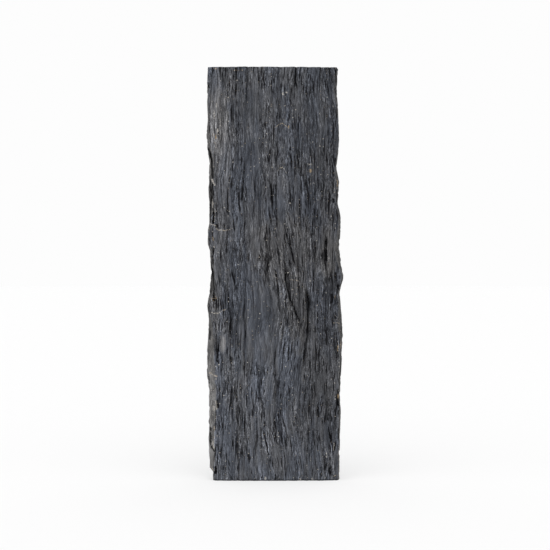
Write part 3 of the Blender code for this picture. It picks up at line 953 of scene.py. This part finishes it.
def fibreLight(f):
    # light and dark: three sizes of sheet, each with its own tone and painted shade on its right side, then
    # fibres, and small facets on the broken sides, shaded the same way
    light = f.plus(1.0, f.times(f.mark("flakeTone"), 0.13))
    light = f.times(light, f.span(f.streak, 0.3, 0.7, 0.87, 1.13))
    f.sheets = []
    for wide, tall, shift, ownShare, leanShare, height in slate["sheets"]:
        _, lean, own, _ = f.cells(f.fibres, wide, tall, shift)
        light = f.times(light, f.sheetToneAndShade(own, lean, ownShare, leanShare))
        f.sheets.append((own, lean, height))
    fine = f.times(f.span(f.dashes, 0.30, 0.70, 0.72, 1.28), f.span(f.hairs, 0.25, 0.75, 0.52, 1.48))
    fine = f.times(fine, f.span(f.noise(f.fibres, *slate["grit"]), 0.3, 0.7, 0.72, 1.28))
    fine = f.plus(1.0, f.times(f.minus(fine, 1.0), f.times(f.rough, f.smooth)))
    # the middle sheets end on the right in a painted highlight line and then a painted shade line
    (wideOwn, _, _), (_, midLean, _), _ = f.sheets
    lipHighlightAndShade = f.minus(f.span(midLean, 0.24, 0.30), f.span(midLean, 0.36, 0.42, 0.0, 1.6))
    lipHighlightAndShade = f.times(lipHighlightAndShade, f.times(wideOwn, 0.6))
    # the patches' lightness is partly the stone's own tone and partly painted light and shade
    wearAndPaintedLight = f.plus(1.0, f.mark("wearAndPaintedLight"))
    light = f.times(light, fine, f.plus(1.0, lipHighlightAndShade), wearAndPaintedLight)
    _, facetLean, facetOwn, _ = f.cells(f.straight, *slate["facets"])
    facets = f.times(f.sheetToneAndShade(facetOwn, facetLean, 0.5, 0.3), fine, wearAndPaintedLight)
    return f.plus(light, f.times(f.minus(facets, light), f.times(f.broken, 0.6)))


def blackSlits(f):
    # short slits painted black as shade, each at the middle of its own long cell, with a painted highlight
    # as a lip on the left
    slits = lipHighlights = 0.0
    ragged = f.times(f.minus(f.hairs, 0.5), 0.1)
    for wide, tall, shift, rare in slate["slits"]:
        distance, lean, own, length = f.cells(f.fibres, wide, tall, shift, pointed=True)
        reach = f.plus(f.plus(0.11, f.times(length, 0.15)), ragged)
        within = f.minus(reach, distance)
        here = f.span(f.plus(own, f.times(f.rough, 0.35)), rare, rare + 0.03)
        slits = f.most(slits, f.times(f.span(within, 0.0, 0.04), here))
        beside = f.times(f.span(within, -0.09, -0.04), f.span(lean, -0.02, 0.02, 1.0, 0.0))
        lipHighlights = f.most(lipHighlights, f.times(beside, here))
    return f.times(slits, f.smooth), f.times(lipHighlights, f.smooth)


def openCuts(f):
    # the drawn cuts, painted black as shade, with ragged edges, and shreds of stone across them on the
    # broken sides
    cut = f.mark("cut")
    ragged = f.plus(cut, f.times(f.minus(f.crumbs, 0.5), 0.9))
    shreds = f.times(f.span(f.dashes, 0.42, 0.62), f.times(f.broken, 0.12))
    return f.times(f.span(ragged, 0.32, 0.5), f.span(cut, 0.02, 0.15), f.minus(1.0, shreds))


def addChips(f, colour):
    # pale and ochre crumbs along the ledges, then the drawn chips and veins
    onLedge = f.span(f.size(f.mark("ledgeOff")), 0.3, 1.1, 1.0, 0.0)
    onLedge = f.times(onLedge, f.times(f.mark("ledge"), f.span(f.crumbs, 0.44, 0.56)))
    edging = f.mix(f.span(f.noise(f.face, *slate["edging"]), 0.45, 0.6), slate["ledgeEdge"], slate["pale"])
    colour = f.mix(f.times(onLedge, 0.85), colour, edging)
    loose = f.times(f.minus(f.crumbs, 0.5), 2.0)
    for name, low, high in (("ochre", 0.45, 0.75), ("pale", 0.55, 0.85)):
        chip = f.times(f.span(f.plus(f.mark(name), loose), low, high), f.span(f.mark(name), 0.02, 0.2))
        colour = f.mix(f.times(chip, 0.8), colour, slate[name])
    return colour


def addSpecks(f, colour, paintedShade):
    # rare mineral specks, more of them in some zones and where the painted shade lies
    distance, _, own, size = f.cells(f.face, *slate["specksEvery"])
    reach = f.plus(-0.08, f.plus(f.times(size, 0.07), f.times(f.crumbs, 0.28)))
    near = f.span(f.minus(reach, distance), 0.0, 0.04)
    zone = f.noise(f.straight, *slate["speckZones"])
    chance = f.plus(f.times(zone, 0.6), f.times(paintedShade, 0.25))
    rare = f.span(f.plus(own, chance), 1.09, 1.11)
    speck = f.mix(f.span(size, 0.5, 1.0), slate["specks"], slate["pale"])
    return f.mix(f.times(near, rare, 0.8), colour, speck)


def sawnEnds(f):
    # where the stone is sawn, and its plain grey with faint saw lines
    facing = f.node("ShaderNodeSeparateXYZ", {"Vector": f.node("ShaderNodeNewGeometry").outputs["Normal"]})
    sawn = f.span(f.size(facing.outputs["Z"]), 0.9, 0.97)
    sawLines = f.span(f.noise(f.ends, *slate["sawLines"]), 0.3, 0.7, 0.85, 1.15)
    beds = f.span(f.noise(f.ends, *slate["sawnBeds"]), 0.3, 0.7, 0.75, 1.25)
    return sawn, f.scaled(slate["sawnGrey"], f.times(sawLines, beds))


def addBump(f, slits, sawn):
    height = f.times(f.dashes, 0.6)
    for own, lean, rise in f.sheets:
        height = f.plus(height, f.times(f.minus(own, lean), rise))
    height = f.plus(height, f.times(f.hairs, 0.2))
    height = f.minus(height, f.times(slits, 0.9))
    height = f.times(height, f.minus(1.0, f.times(sawn, 0.9)))
    strength, deep = slate["relief"]
    bump = f.node("ShaderNodeBump", {"Strength": strength, "Distance": deep, "Height": height})
    f.tree.links.new(bump.outputs["Normal"], f.shader.inputs["Normal"])


def slateMaterial():
    f = Finish("rivenSlateFinish")
    layPatterns(f)
    lit = f.scaled(baseGrey(f), fibreLight(f))
    slits, lipHighlights = blackSlits(f)
    # painted highlight on the slits' lips, then painted shade in crevices, cuts and slits
    lit = f.scaled(lit, f.plus(1.0, f.times(lipHighlights, slate["lipLight"])))
    paintedShade = f.times(f.most(f.mark("crevice"), openCuts(f), slits), slate["paintedShadeStrength"])
    colour = f.mix(paintedShade, lit, slate["crevice"])
    colour = addChips(f, colour)
    colour = addSpecks(f, colour, paintedShade)
    sawn, sawnColour = sawnEnds(f)
    colour = f.mix(sawn, colour, sawnColour)
    f.tree.links.new(colour, f.shader.inputs["Base Color"])
    f.tree.links.new(f.span(f.streak, 0.3, 0.7, 0.45, 0.68), f.shader.inputs["Roughness"])
    f.shader.inputs["Specular IOR Level"].default_value = slate["shine"]
    addBump(f, slits, sawn)
    return f.material


rivenSlate.data.materials.append(slateMaterial())
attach(rivenSlate, "root")
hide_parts("slate_slab")
print("slate finish laid on")
